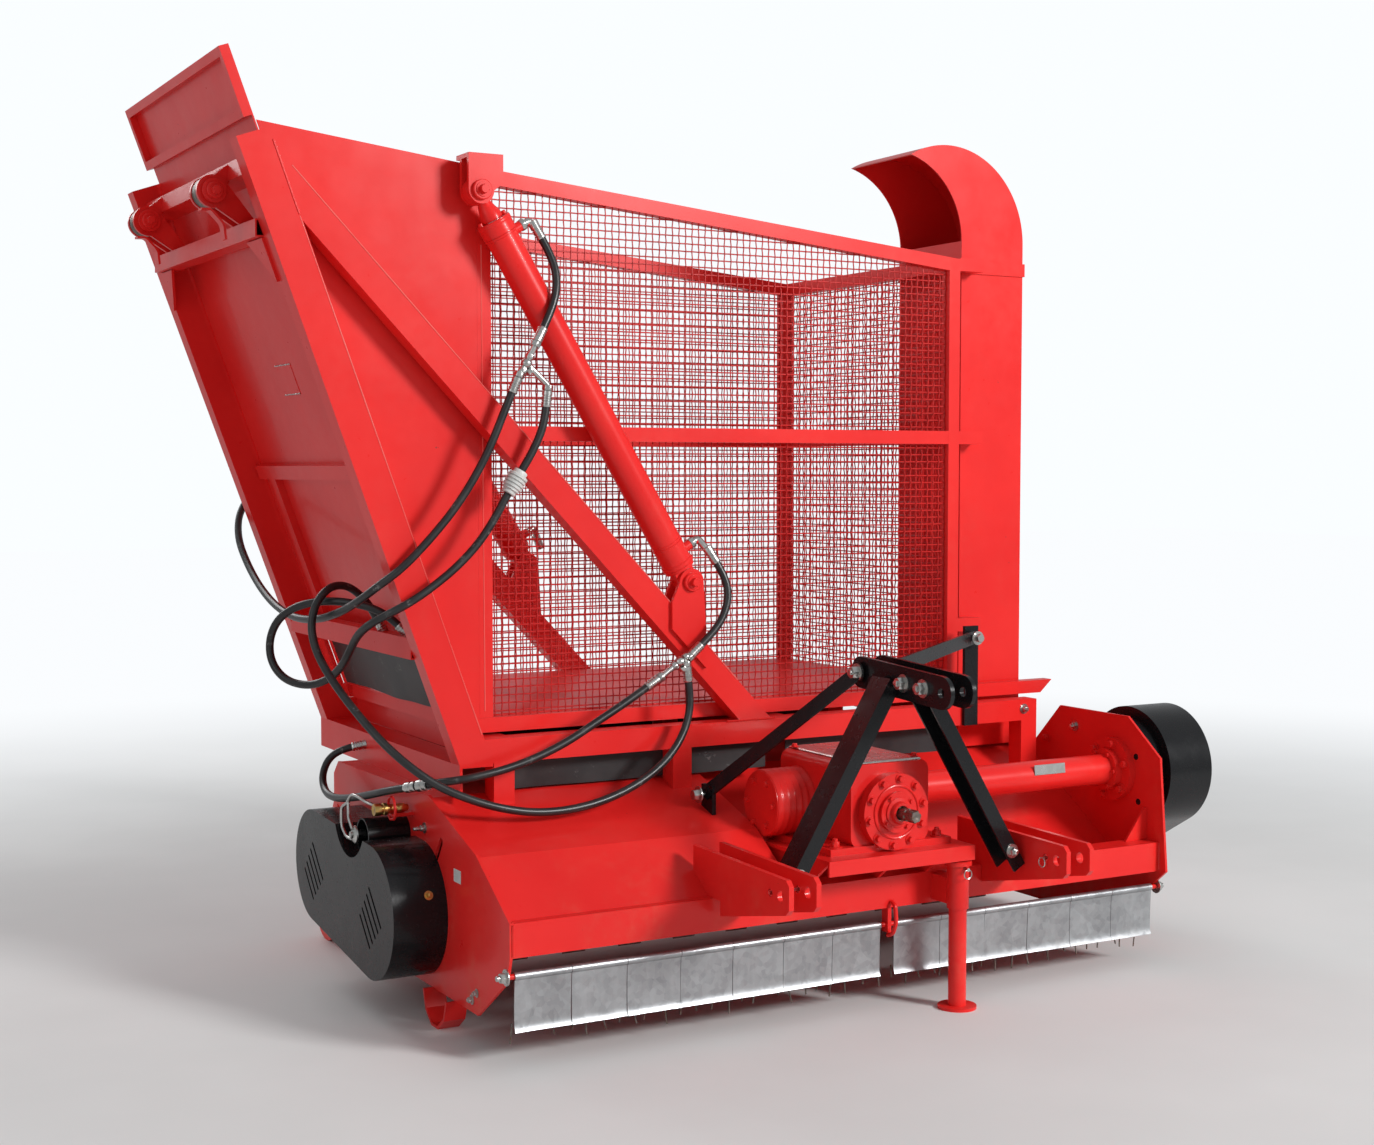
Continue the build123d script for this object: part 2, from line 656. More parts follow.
# ================================================================ hitch
def ear_pair(side):
    """Two plates of one lower hitch point."""
    outline = [(EAR_PIN_Y - 40, EAR_PIN_Z - EAR_HALF_HEIGHT + 14),
               (EAR_PIN_Y - 26, EAR_PIN_Z - EAR_HALF_HEIGHT), (-2, BEAM_LOW + 40),
               (-2, BEAM_HIGH), (110, BEAM_HIGH), (110, EAR_PIN_Z + EAR_HALF_HEIGHT + 8),
               (EAR_PIN_Y - 26, EAR_PIN_Z + EAR_HALF_HEIGHT),
               (EAR_PIN_Y - 40, EAR_PIN_Z + EAR_HALF_HEIGHT - 14)]
    plates = []
    for inside in (-1, 1):
        x = side * EAR_X + inside * (EAR_GAP + EAR_THICK) / 2
        plate = slab_x(outline, x - EAR_THICK / 2, x + EAR_THICK / 2)
        for y, r in ((EAR_PIN_Y, EAR_PIN_R), (EAR_PIN_Y + 46, 10)):
            plate -= drum_x(y, EAR_PIN_Z, r, x - EAR_THICK, x + EAR_THICK)
        slope = [(-2, 0), (BEAM_DEPTH + 1, 0), (BEAM_DEPTH + 1, BEAM_HIGH), (-2, BEAM_HIGH)]
        plate -= slab_x(slope, x - EAR_THICK, x + EAR_THICK)
        plates.append(plate)
    return plates


def hood_cut():
    """Everything under the outer face of the left hood."""
    return slab_x([(HOOD_FRONT_Y - 60, 0), (HOOD_FRONT_Y - 60, BEAM_HIGH)] + LEFT_HOOD
                  + [(HOUSING_BACK, 0)], -HALF, HOOD_SPLIT_X + SHEET)


def recess_cut():
    """Everything under the outer face of the right hood."""
    return slab_x([(0, 0), (0, BEAM_HIGH), (BEAM_DEPTH, BEAM_HIGH)] + RIGHT_HOOD
                  + [(HOUSING_BACK, 0)], HOOD_SPLIT_X, HALF)


def lower_ears():
    """Lower hitch ears of both sides, standing on the front beam."""
    left = [plate - hood_cut() for plate in ear_pair(-1)]
    right = [plate - recess_cut() for plate in ear_pair(1)]
    return all_of(*left, *right)


def mast_legs():
    """Channel legs, open inwards, from the inner ear plates up to the mast head."""
    foot_x = EAR_X - EAR_GAP / 2 - EAR_THICK
    path = [(foot_x, EAR_PIN_Z - 30), (MAST_GAP / 2 + MAST_THICK + 24, MAST_REAR_Z)]
    leg = slab_y(path + offset_path(path, LEG_WIDTH)[::-1],
                 LEG_FOOT_Y - LEG_DEPTH / 2, LEG_FOOT_Y + LEG_DEPTH / 2)
    web = offset_path(path, LEG_WALL)
    leg -= slab_y(web + offset_path(path, LEG_WIDTH + 1)[::-1],
                  LEG_FOOT_Y - LEG_DEPTH / 2 + LEG_WALL, LEG_FOOT_Y + LEG_DEPTH / 2 - LEG_WALL)
    head = MAST_GAP / 2 + MAST_THICK
    leg -= block(-head, head, -500, 200, 0, 1100)
    return leg, mirror(leg, Plane.YZ)


def mast_head():
    """Two long plates with the top link bores."""
    plates = []
    shape = lobes((MAST_REAR_Y, MAST_REAR_Z), MAST_R, (MAST_FRONT_Y, MAST_FRONT_Z), MAST_R)
    for x0 in (-MAST_GAP / 2 - MAST_THICK, MAST_GAP / 2):
        plate = along_x(shape, x0, x0 + MAST_THICK)
        plate -= drum_x(MAST_FRONT_Y, MAST_FRONT_Z, TOP_PIN_R, x0 - 1, x0 + MAST_THICK + 1)
        plates.append(plate)
    bolts = []
    for y in MAST_BOLTS_Y + (MAST_REAR_Y,):
        z = MAST_FRONT_Z + (y - MAST_FRONT_Y) / (MAST_REAR_Y - MAST_FRONT_Y) * (
            MAST_REAR_Z - MAST_FRONT_Z)
        bolts.append(drum_x(y, z, MAST_BOLT_R, -MAST_GAP / 2 - MAST_THICK - 18,
                            MAST_GAP / 2 + MAST_THICK + 18))
    head = plates[0] + plates[1]
    for bolt in bolts:
        head += bolt
    return head


def mast_stays():
    """Flat stays from the mast head back to the hood and to the base frame."""
    lug_top = left_hood_z(LUG_Y) + 70
    lug = block(LUG_X, LUG_X + 12, LUG_Y - 30, LUG_Y + 30, left_hood_z(LUG_Y) - 20, lug_top)
    bolt = drum_x(LUG_Y, lug_top - 25, 10, LUG_X - 24, LUG_X + 20)
    head_x = MAST_GAP / 2 + MAST_THICK
    left = bar((-head_x - 8, MAST_REAR_Y, MAST_REAR_Z), (LUG_X - 8, LUG_Y, lug_top - 25),
               STAY_WIDTH, STAY_THICK, across=(1, 0, 0))
    right = bar((head_x + 8, MAST_REAR_Y, MAST_REAR_Z), (UPRIGHT_X, FRAME_Y - 20, UPRIGHT_TOP - 35),
                STAY_WIDTH, STAY_THICK, across=(0, 1, 0))
    upright = block(UPRIGHT_X - 25, UPRIGHT_X + 25, FRAME_Y - 12, FRAME_Y, BASE_LOW, UPRIGHT_TOP)
    pin = drum_y(UPRIGHT_X, UPRIGHT_TOP - 35, 9, FRAME_Y - 40, FRAME_Y)
    mast_bolt = drum_x(MAST_REAR_Y, MAST_REAR_Z, MAST_BOLT_R, -HALF, HALF)
    return all_of(left - mast_bolt + (lug - hood_cut()) + bolt,
                  right - mast_bolt + upright + pin)


# ================================================================ gearbox
def gearbox():
    """Cast housing with its front flange, left cap and foot."""
    body = block(GEARBOX_LEFT, GEARBOX_RIGHT, GEARBOX_FRONT, GEARBOX_REAR, GEARBOX_LOW,
                 GEARBOX_HIGH)
    body = fillet(body.edges().filter_by(Axis.Y), 30)
    body += drum_y(SHAFT_X, SHAFT_Z, FLANGE_R, GEARBOX_FRONT - FLANGE_THICK, GEARBOX_FRONT)
    body += drum_y(SHAFT_X, SHAFT_Z, 55, GEARBOX_FRONT - FLANGE_THICK - 10, GEARBOX_FRONT)
    body += drum_x(DRIVE_Y, SHAFT_Z, CAP_R - 10, CAP_LEFT, GEARBOX_LEFT + 1)
    body += drum_x(DRIVE_Y, SHAFT_Z, 70, GEARBOX_RIGHT - 1, GEARBOX_RIGHT + 35)
    foot = block(GEARBOX_LEFT - 70, GEARBOX_RIGHT + 70, GEARBOX_FRONT - 10, TABLE_REAR - 10,
                 TABLE_TOP, GEARBOX_LOW + 6)
    body += foot
    body -= drum_y(SHAFT_X, SHAFT_Z, PTO_R + 3 + FIT, GEARBOX_FRONT - FLANGE_THICK - 11,
                   GEARBOX_FRONT + 80)
    return body - block(GEARBOX_LEFT + CAST_WALL, GEARBOX_RIGHT - CAST_WALL, GEARBOX_FRONT + 95,
                        GEARBOX_REAR - CAST_WALL, GEARBOX_LOW + 20, GEARBOX_HIGH - 25)


def input_shaft():
    """Splined stub that the tractor's drive shaft slides onto."""
    face = GEARBOX_FRONT - FLANGE_THICK - 10
    collar = drum_y(SHAFT_X, SHAFT_Z, PTO_R + 3, face - 4, GEARBOX_FRONT + 80)
    return collar + drum_y(SHAFT_X, SHAFT_Z, PTO_R, face - 4 - PTO_LENGTH, face - 3)


def gearbox_table():
    """Table of folded plate on the front beam."""
    top = block(TABLE_LEFT, TABLE_RIGHT, TABLE_FRONT, TABLE_REAR, TABLE_Z, TABLE_TOP)
    web_outline = [(0, BEAM_HIGH), (BEAM_DEPTH, BEAM_HIGH), (TABLE_REAR, TABLE_Z),
                   (TABLE_FRONT + 20, TABLE_Z)]
    for x0 in (TABLE_LEFT + 10, 30, TABLE_RIGHT - 75):
        top += slab_x(web_outline, x0, x0 + 10)
    lip = block(TABLE_LEFT, TABLE_RIGHT, TABLE_FRONT, TABLE_FRONT + 8, TABLE_Z - 30, TABLE_Z)
    return top + lip - hood_cut()


def drive_tube():
    """Tube round the cross shaft, with its flange on the right end plate."""
    start = GEARBOX_RIGHT + 35
    tube = drum_x(DRIVE_Y, SHAFT_Z, DRIVE_TUBE_R, start, INNER)
    tube -= drum_x(DRIVE_Y, SHAFT_Z, DRIVE_TUBE_R - 6, start - 1, INNER + 1)
    flange = drum_x(DRIVE_Y, SHAFT_Z, DRIVE_FLANGE_R, INNER - 22, INNER)
    collar = drum_x(DRIVE_Y, SHAFT_Z, 62, INNER - 45, INNER - 22)
    return tube + (flange + collar - drum_x(DRIVE_Y, SHAFT_Z, DRIVE_TUBE_R - 6, 0, HALF))


# ================================================================ jack
def jack_sleeve():
    """Sleeve held by a bracket on the front beam."""
    sleeve = drum_z(JACK_X, JACK_Y, JACK_SLEEVE_R, JACK_SLEEVE_LOW, JACK_SLEEVE_HIGH)
    bracket = block(JACK_X - 25, JACK_X + 25, JACK_Y, 0, BEAM_LOW + 10, BEAM_HIGH - 6)
    bore = drum_z(JACK_X, JACK_Y, JACK_TUBE_R + FIT, 0, JACK_SLEEVE_HIGH + 50)
    return sleeve + bracket - bore


def jack_leg():
    """Sliding leg with its round foot."""
    leg = drum_z(JACK_X, JACK_Y, JACK_TUBE_R, 4, JACK_TOP)
    leg -= drum_z(JACK_X, JACK_Y, JACK_TUBE_R - 4, 8, JACK_TOP + 1)
    return leg + drum_z(JACK_X, JACK_Y, JACK_FOOT_R, 0, 8)


# ================================================================ belt covers
def shell_along_x(shape, inner, x0, x1, wall):
    """A closed box with the flat shape as its outline."""
    return along_x(shape, x0, x1) - along_x(inner, x0 + wall, x1 - wall)


def louvres(y, z):
    """Row of slanted slots, side by side, about one point of a cover."""
    figure = Sketch()
    for k in range(LOUVRES):
        step = (LOUVRES - 1) / 2 - k
        slot = Rectangle(LOUVRE_LENGTH - LOUVRE_TAPER * k, LOUVRE_WIDTH)
        figure += Pos(0, LOUVRE_PITCH * step) * slot
    return Pos(y, z) * (Rot(0, 0, LOUVRE_TILT) * figure)


def left_cover():
    """Figure-eight cover of the belt from rotor to auger."""
    a = (ROTOR_Y, ROTOR_Z)
    b = (AUGER_Y, AUGER_Z)
    x0 = -HALF - LEFT_COVER_DEPTH
    notch = Pos(*SADDLE) * Circle(SADDLE_R)
    outer = lobes(a, LEFT_FRONT_R, b, LEFT_REAR_R) - notch
    inner = lobes(a, LEFT_FRONT_R - COVER_WALL, b, LEFT_REAR_R - COVER_WALL)
    inner -= Pos(*SADDLE) * Circle(SADDLE_R + COVER_WALL)
    cover = shell_along_x(outer, inner, x0, -HALF, COVER_WALL)
    for y, z in (a, b):
        cover -= along_x(louvres(y, z - LOUVRE_DROP), x0 - 1, x0 + COVER_WALL + 1)
    return cover - drum_x(ROTOR_Y, ROTOR_Z, ROTOR_SHAFT_R + 6, -HALF - COVER_WALL - 2, -HALF + 1)


def right_cover():
    """Deep cover of the belt from the cross shaft down to the rotor."""
    a = (DRIVE_Y, SHAFT_Z)
    b = (ROTOR_Y, ROTOR_Z)
    outer = lobes(a, RIGHT_FRONT_R, b, RIGHT_REAR_R)
    inner = lobes(a, RIGHT_FRONT_R - COVER_WALL, b, RIGHT_REAR_R - COVER_WALL)
    neck = lobes(a, RIGHT_FRONT_R - RIGHT_NECK, b, RIGHT_REAR_R - RIGHT_NECK)
    neck_in = lobes(a, RIGHT_FRONT_R - RIGHT_NECK - COVER_WALL, b,
                    RIGHT_REAR_R - RIGHT_NECK - COVER_WALL)
    cover = shell_along_x(outer, inner, RIGHT_COVER_IN, RIGHT_COVER_OUT, COVER_WALL)
    return cover + along_x(neck - neck_in, HALF, RIGHT_COVER_IN)


def tube_holder():
    """Open black tube beside the left cover that holds loose fittings."""
    end = -HALF - HOLDER_LENGTH
    tube = drum_x(HOLDER_Y, HOLDER_Z, HOLDER_R, end, -HALF)
    return tube - drum_x(HOLDER_Y, HOLDER_Z, HOLDER_R - 5, end - 1, -HALF - 8)


# ================================================================ base frame
def column_envelope():
    """Everything on the outer side of the columns' inner edge."""
    return slab_y([(column_inner(0), 0), (column_inner(3000), 3000), (-3000, 3000), (-3000, 0)],
                  0, 3000)


def base_frame():
    """Front and rear base beams with the cross beams between them."""
    inside = FRAME_WALL
    front = block(column_inner(BASE_HIGH), BASE_RIGHT, FRAME_Y, FRAME_Y + FRAME_DEPTH,
                  BASE_LOW, BASE_HIGH)
    front -= block(-HALF, HALF, FRAME_Y + inside, FRAME_Y + FRAME_DEPTH - inside,
                   BASE_LOW + inside, BASE_HIGH - inside)
    front -= column_envelope()
    parts = [both_sides(front)]
    y0 = FRAME_Y + FRAME_DEPTH + WELD
    y1 = REAR_FRAME_Y - WELD
    for x0 in CROSS_X:
        cross = block(x0, x0 + CROSS_WIDTH, y0, y1, BASE_LOW, BASE_HIGH)
        parts.append(cross - block(x0 + inside, x0 + CROSS_WIDTH - inside, y0 - 1, y1 + 1,
                                   BASE_LOW + inside, BASE_HIGH - inside))
    return all_of(*parts)


def base_supports():
    """Posts on the housing and triangles on its back that carry the base frame."""
    parts = []
    for x0 in (CROSS_X[0], HOOD_SPLIT_X - 2 * CROSS_WIDTH, BASE_RIGHT - CROSS_WIDTH):
        post = block(x0, x0 + CROSS_WIDTH, FRAME_Y, FRAME_Y + FRAME_DEPTH, LEDGE_Z, BASE_LOW)
        post -= block(x0 + FRAME_WALL, x0 + CROSS_WIDTH - FRAME_WALL, FRAME_Y + FRAME_WALL,
                      FRAME_Y + FRAME_DEPTH - FRAME_WALL, LEDGE_Z, BASE_LOW - FRAME_WALL)
        parts.append(post - hood_cut() - recess_cut())
    for x0 in CROSS_X:
        parts.append(shell(x0, x0 + CROSS_WIDTH, HOUSING_BACK - 90, HOUSING_BACK - 30, HOOD_TOP,
                           BASE_LOW, FRAME_WALL))
        middle = x0 + CROSS_WIDTH / 2
        outline = [(HOUSING_BACK, BASE_LOW), (REAR_FRAME_Y - 10, BASE_LOW),
                   (HOUSING_BACK, GUSSET_FOOT_Z)]
        parts.append(slab_x(outline, middle - 6, middle + 6))
    return all_of(*parts)


def side_skirt():
    """Plate along the left side between the housing and the columns' feet."""
    x0 = column_outer(BASE_LOW)
    y1 = REAR_FRAME_Y + FRAME_DEPTH
    plate = block(x0, x0 + PLATE, FRAME_Y, y1, HOOD_TOP, BASE_LOW)
    sole = block(x0 + PLATE, column_inner(BASE_LOW), FRAME_Y, y1, BASE_LOW - PLATE, BASE_LOW)
    return plate + sole - hood_cut()


def tip_columns():
    """Leaning box columns, front and rear."""
    middle = (column_outer(BASE_LOW) + column_inner(BASE_LOW)) / 2
    lean = math.tan(COLUMN_LEAN)
    y = FRAME_Y + FRAME_DEPTH / 2
    low = (middle + 60 * lean, y, BASE_LOW - 60)
    high = (middle - (COLUMN_TOP - BASE_LOW) * lean, y, COLUMN_TOP)
    column = bar(low, high, COLUMN_WIDTH, FRAME_DEPTH, FRAME_WALL)
    cap_end = (high[0] - 5 * math.sin(COLUMN_LEAN), y, high[2] + 5 * math.cos(COLUMN_LEAN))
    column += bar(high, cap_end, COLUMN_WIDTH, FRAME_DEPTH)
    return both_sides(column - block(-HALF, 0, 0, 3000, 0, BASE_LOW))


def diagonal_z(x):
    """Height of the diagonals' middle line at x."""
    slope = (DIAGONAL_TOP_Z - BASE_HIGH) / (DIAGONAL_TOP_X - DIAGONAL_FOOT_X)
    return BASE_HIGH + slope * (x - DIAGONAL_FOOT_X)


def tip_diagonals():
    """Box diagonals to the column tops, each with the lugs of a cylinder's lower pin."""
    y = FRAME_Y + FRAME_DEPTH / 2
    low = (DIAGONAL_FOOT_X + 80, y, diagonal_z(DIAGONAL_FOOT_X + 80))
    high = (DIAGONAL_TOP_X - 60, y, diagonal_z(DIAGONAL_TOP_X - 60))
    tube = bar(low, high, DIAGONAL_WIDTH, FRAME_DEPTH, FRAME_WALL)
    tube = tube - block(-500, 500, 0, 3000, 0, BASE_HIGH) - column_envelope()
    slope = (diagonal_z(1) - diagonal_z(0))
    rise = DIAGONAL_WIDTH / 2 * math.hypot(1, slope)
    x0 = CYL_LOW_X - 62
    x1 = CYL_LOW_X + 48
    for y0, sink in ((FRAME_Y - LUG_THICK, DIAGONAL_WIDTH), (CYL_Y + EYE_WIDTH / 2 + EYE_GAP, 0)):
        shape = Polygon((x0, diagonal_z(x0) + rise - sink), (x1, diagonal_z(x1) + rise - sink),
                        (x1, diagonal_z(x1) + rise), (CYL_LOW_X + EYE_R, CYL_LOW_Z),
                        (CYL_LOW_X - EYE_R, CYL_LOW_Z), (x0, diagonal_z(x0) + rise),
                        align=None)
        shape += Pos(CYL_LOW_X, CYL_LOW_Z) * Circle(EYE_R)
        tube += along_y(shape, y0, y0 + LUG_THICK)
    tube += drum_y(CYL_LOW_X, CYL_LOW_Z, CYL_PIN_R, FRAME_Y - LUG_THICK - 10,
                   CYL_Y + EYE_WIDTH / 2 + LUG_THICK + 8)
    return both_sides(tube)


def hinge_middles():
    """Y of the middle of each hopper hinge."""
    return HOPPER_Y0 + HINGE_INSET, HOPPER_Y1 - HINGE_INSET


def hinge_rail_ends():
    """Left and right faces of the hinge rail."""
    left = column_outer(HINGE_RAIL_TOP) - 6
    return left, left + HINGE_RAIL_WIDTH


def rail_gusset():
    """Triangle in the corner between the front column and the underside of the hinge rail."""
    low = HINGE_RAIL_TOP - HINGE_RAIL_HEIGHT
    down = (math.sin(COLUMN_LEAN), 0, -math.cos(COLUMN_LEAN))
    plane = Plane(origin=(column_outer(low) + 1, FRAME_Y + FRAME_DEPTH, low),
                  x_dir=(0, 1, 0), z_dir=(math.cos(COLUMN_LEAN), 0, math.sin(COLUMN_LEAN)))
    side = 1 if plane.y_dir.dot(Vector(*down)) > 0 else -1
    triangle = Polygon((0, 0), (RAIL_GUSSET_WIDE, 0), (0, side * RAIL_GUSSET_TALL), align=None)
    gusset = extrude(plane * triangle, PLATE)
    return gusset - block(-3000, 3000, 0, 3000, low, 3000)


def tip_rails():
    """Rails between the columns, with gussets under the upper one."""
    y0 = FRAME_Y + FRAME_DEPTH
    y1 = REAR_FRAME_Y
    x0 = column_outer(LOW_RAIL_Z)
    low = block(x0, x0 + LOW_RAIL_WIDTH, y0, y1, LOW_RAIL_Z - 28, LOW_RAIL_Z + 28)
    low -= block(x0 + FRAME_WALL, x0 + LOW_RAIL_WIDTH - FRAME_WALL, y0 - 1, y1 + 1,
                 LOW_RAIL_Z - 28 + FRAME_WALL, LOW_RAIL_Z + 28 - FRAME_WALL)
    left, right = hinge_rail_ends()
    high = block(left, right, y0, y1, HINGE_RAIL_TOP - HINGE_RAIL_HEIGHT, HINGE_RAIL_TOP)
    high -= block(left + FRAME_WALL, right - FRAME_WALL, y0 - 1, y1 + 1,
                  HINGE_RAIL_TOP - HINGE_RAIL_HEIGHT + FRAME_WALL, HINGE_RAIL_TOP - FRAME_WALL)
    return all_of(low, high, both_sides(rail_gusset()))


def hinge_cheeks():
    """Two pairs of cheeks on the hinge rail, each with its pin."""
    left, right = hinge_rail_ends()
    top = HINGE_RAIL_TOP + WELD
    cheek = Polygon((left, top), (right, top), (PIVOT_X + 34, PIVOT_Z + 24),
                    (PIVOT_X - 40, PIVOT_Z - 12), align=None)
    cheek += Pos(PIVOT_X, PIVOT_Z) * Circle(CHEEK_R)
    hinges = []
    for y in hinge_middles():
        half = KNUCKLE_WIDTH / 2 + 1
        hinge = drum_y(PIVOT_X, PIVOT_Z, PIVOT_R, y - half - CHEEK_THICK - 12,
                       y + half + CHEEK_THICK + 12)
        hinge += drum_y(PIVOT_X, PIVOT_Z, PIVOT_R + 12, y - half - CHEEK_THICK - 10,
                        y - half - CHEEK_THICK)
        for start in (y - half - CHEEK_THICK, y + half):
            hinge += along_y(cheek, start, start + CHEEK_THICK)
        hinges.append(hinge)
    return all_of(*hinges)


def rubber_aprons():
    """Rubber sheets that close the slots between the hood and the base frame, front and rear."""
    low = HOOD_TOP + 3
    sheets = []
    for y0, gap in ((FRAME_Y + FRAME_DEPTH, 4), (REAR_APRON_Y, 0)):
        for x0, x1 in zip(CROSS_X, CROSS_X[1:]):
            sheets.append(block(x0 + CROSS_WIDTH + gap, x1 - gap, y0, y0 + APRON_THICK, low,
                                BASE_HIGH - 10))
    return all_of(*sheets)


# ================================================================ hopper
def hopper_left(z):
    """X of the outer face of the hopper's left wall at a height."""
    return column_inner(z) - WALL_OVERLAP


def hopper_top(x):
    """Height of the hopper's top edge at x."""
    knots = [(hopper_left(HOPPER_TOP_LEFT), HOPPER_TOP_LEFT), (HOPPER_PANEL_X, HOPPER_KNEE_Z),
             (HOPPER_RIGHT, HOPPER_TOP_RIGHT)]
    for (xa, za), (xb, zb) in zip(knots, knots[1:]):
        if x <= xb:
            return za + (zb - za) * (x - xa) / (xb - xa)
    return HOPPER_TOP_RIGHT


def rail_y(x0, x1, z0, z1):
    """Rail along Y between the hopper's front and rear frames."""
    y0 = HOPPER_Y0 + RAIL + WELD
    y1 = HOPPER_Y1 - RAIL - WELD
    rail = block(x0, x1, y0, y1, z0, z1)
    return rail - block(x0 + RAIL_WALL, x1 - RAIL_WALL, y0 - 1, y1 + 1, z0 + RAIL_WALL,
                        z1 - RAIL_WALL)


def side_tube(outline):
    """Member of the hopper's front frame with its outline in (x, z), mirrored to the rear."""
    shape = Polygon(*outline, align=None)
    member = along_y(shape, HOPPER_Y0, HOPPER_Y0 + RAIL)
    member -= along_y(offset(shape, -RAIL_WALL), HOPPER_Y0 + RAIL_WALL,
                      HOPPER_Y0 + RAIL - RAIL_WALL)
    return both_sides(member)


def hopper_rails():
    """Posts, rails and end rails of the hopper; like members are mirrored to the rear."""
    post = HOPPER_RIGHT - RAIL
    panel = HOPPER_PANEL_X
    low = HOPPER_LOW + RAIL
    parts = [
        side_tube([(hopper_left(HOPPER_LOW), HOPPER_LOW), (HOPPER_RIGHT, HOPPER_LOW),
                   (HOPPER_RIGHT, low), (hopper_left(low), low)]),
        side_tube([(post, low + WELD), (HOPPER_RIGHT, low + WELD),
                   (HOPPER_RIGHT, hopper_top(HOPPER_RIGHT)), (post, hopper_top(post))]),
        side_tube([(panel - RAIL, low + WELD), (panel, low + WELD), (panel, hopper_top(panel)),
                   (panel - RAIL, hopper_top(panel - RAIL))]),
        side_tube([(panel + WELD, hopper_top(panel) - RAIL), (post - WELD, hopper_top(post) - RAIL),
                   (post - WELD, hopper_top(post)), (panel + WELD, hopper_top(panel))]),
        side_tube([(panel + WELD, HOPPER_MID_Z - RAIL), (post - WELD, HOPPER_MID_Z - RAIL),
                   (post - WELD, HOPPER_MID_Z), (panel + WELD, HOPPER_MID_Z)]),
        rail_y(HOPPER_RIGHT - RAIL, HOPPER_RIGHT, HOPPER_LOW, low),
        rail_y(HOPPER_RIGHT - RAIL, HOPPER_RIGHT, HOPPER_MID_Z - RAIL, HOPPER_MID_Z),
        rail_y(HOPPER_RIGHT - RAIL, HOPPER_RIGHT, HOPPER_TOP_RIGHT - RAIL, HOPPER_TOP_RIGHT),
        rail_y(-100, -100 + RAIL, HOPPER_LOW, low),
        rail_y(hopper_left(HOPPER_LOW) + 6, hopper_left(HOPPER_LOW) + 6 + RAIL, HOPPER_LOW, low),
    ]
    return all_of(*parts)


def hopper_floor():
    """Floor sheet on the bottom rails."""
    z = HOPPER_LOW + RAIL
    return block(hopper_left(z) + 8, HOPPER_RIGHT - RAIL - WELD, HOPPER_Y0 + RAIL + WELD,
                 HOPPER_Y1 - RAIL - WELD, z, z + HOPPER_SHEET)


def hopper_sheets():
    """Plain front and rear sheets at the leaning end."""
    low = HOPPER_LOW + RAIL + WELD
    edge = HOPPER_PANEL_X - RAIL - WELD
    left_low = hopper_left(low) + HOPPER_SHEET * 2
    left_high = hopper_left(HOPPER_TOP_LEFT) + HOPPER_SHEET * 2
    sheet = slab_y([(left_low, low), (edge, low), (edge, hopper_top(edge)),
                    (left_high, hopper_top(left_high))], HOPPER_Y0, HOPPER_Y0 + HOPPER_SHEET)
    return both_sides(sheet)


def left_wall():
    """Leaning end wall, with its ribs outside and the lip above the top edge."""
    low = LEFT_WALL_LOW
    high = HOPPER_TOP_LEFT + LIP_LENGTH * math.cos(COLUMN_LEAN)
    path = [(hopper_left(low), low), (hopper_left(high), high)]
    wall = slab_y(path + offset_path(path, -HOPPER_SHEET)[::-1], HOPPER_Y0, HOPPER_Y1)
    for z0, z1 in ((HOPPER_TOP_LEFT + 10, HOPPER_TOP_LEFT + 32), (high - 22, high),
                   (RIB_Z, RIB_Z + 40)):
        rib = [(hopper_left(z0), z0), (hopper_left(z1), z1)]
        wall += slab_y(rib + offset_path(rib, RIB_HEIGHT)[::-1], HOPPER_Y0, HOPPER_Y1)
    for y0 in (HOPPER_Y0, HOPPER_Y1 - 22):
        rib = [(hopper_left(HOPPER_TOP_LEFT + 10), HOPPER_TOP_LEFT + 10),
               (hopper_left(high), high)]
        wall += slab_y(rib + offset_path(rib, RIB_HEIGHT)[::-1], y0, y0 + 22)
    post = [(hopper_left(STIFFENER_LOW), STIFFENER_LOW), (hopper_left(RIB_Z), RIB_Z)]
    for y0 in (HOPPER_Y0 + STIFFENER_INSET, HOPPER_Y1 - STIFFENER_INSET - STIFFENER_WIDTH):
        wall += slab_y(post + offset_path(post, RIB_HEIGHT)[::-1], y0, y0 + STIFFENER_WIDTH)
    return wall


def wall_apron():
    """Rubber strip that closes the foot of the leaning wall."""
    low = HOPPER_LOW + RAIL + 6
    high = LEFT_WALL_LOW + 40
    path = [(hopper_left(low), low), (hopper_left(high), high)]
    inner = offset_path(path, -HOPPER_SHEET)
    return slab_y(inner + offset_path(path, -HOPPER_SHEET - APRON_THICK)[::-1],
                  HOPPER_Y0 + RAIL + 1, HOPPER_Y1 - RAIL - 1)


def hopper_mesh():
    """Thin plates that stand for the wire mesh between the rails."""
    y0 = HOPPER_Y0 + (RAIL - MESH_THICK) / 2
    panel = HOPPER_PANEL_X + WELD
    post = HOPPER_RIGHT - RAIL - WELD
    parts = []
    low = HOPPER_LOW + RAIL + WELD
    for z0, tops in ((low, (HOPPER_MID_Z - RAIL - WELD,) * 2),
                     (HOPPER_MID_Z + WELD, (hopper_top(panel) - RAIL - WELD,
                                            hopper_top(post) - RAIL - WELD))):
        outline = [(panel, z0), (post, z0), (post, tops[1]), (panel, tops[0])]
        parts.append(both_sides(slab_y(outline, y0, y0 + MESH_THICK)))
    x0 = HOPPER_RIGHT - (RAIL + MESH_THICK) / 2
    for z0, z1 in ((low, HOPPER_MID_Z - RAIL - WELD),
                   (HOPPER_MID_Z + WELD, HOPPER_TOP_RIGHT - RAIL - WELD)):
        parts.append(block(x0, x0 + MESH_THICK, HOPPER_Y0 + RAIL + WELD,
                           HOPPER_Y1 - RAIL - WELD, z0, z1))
    return all_of(*parts)


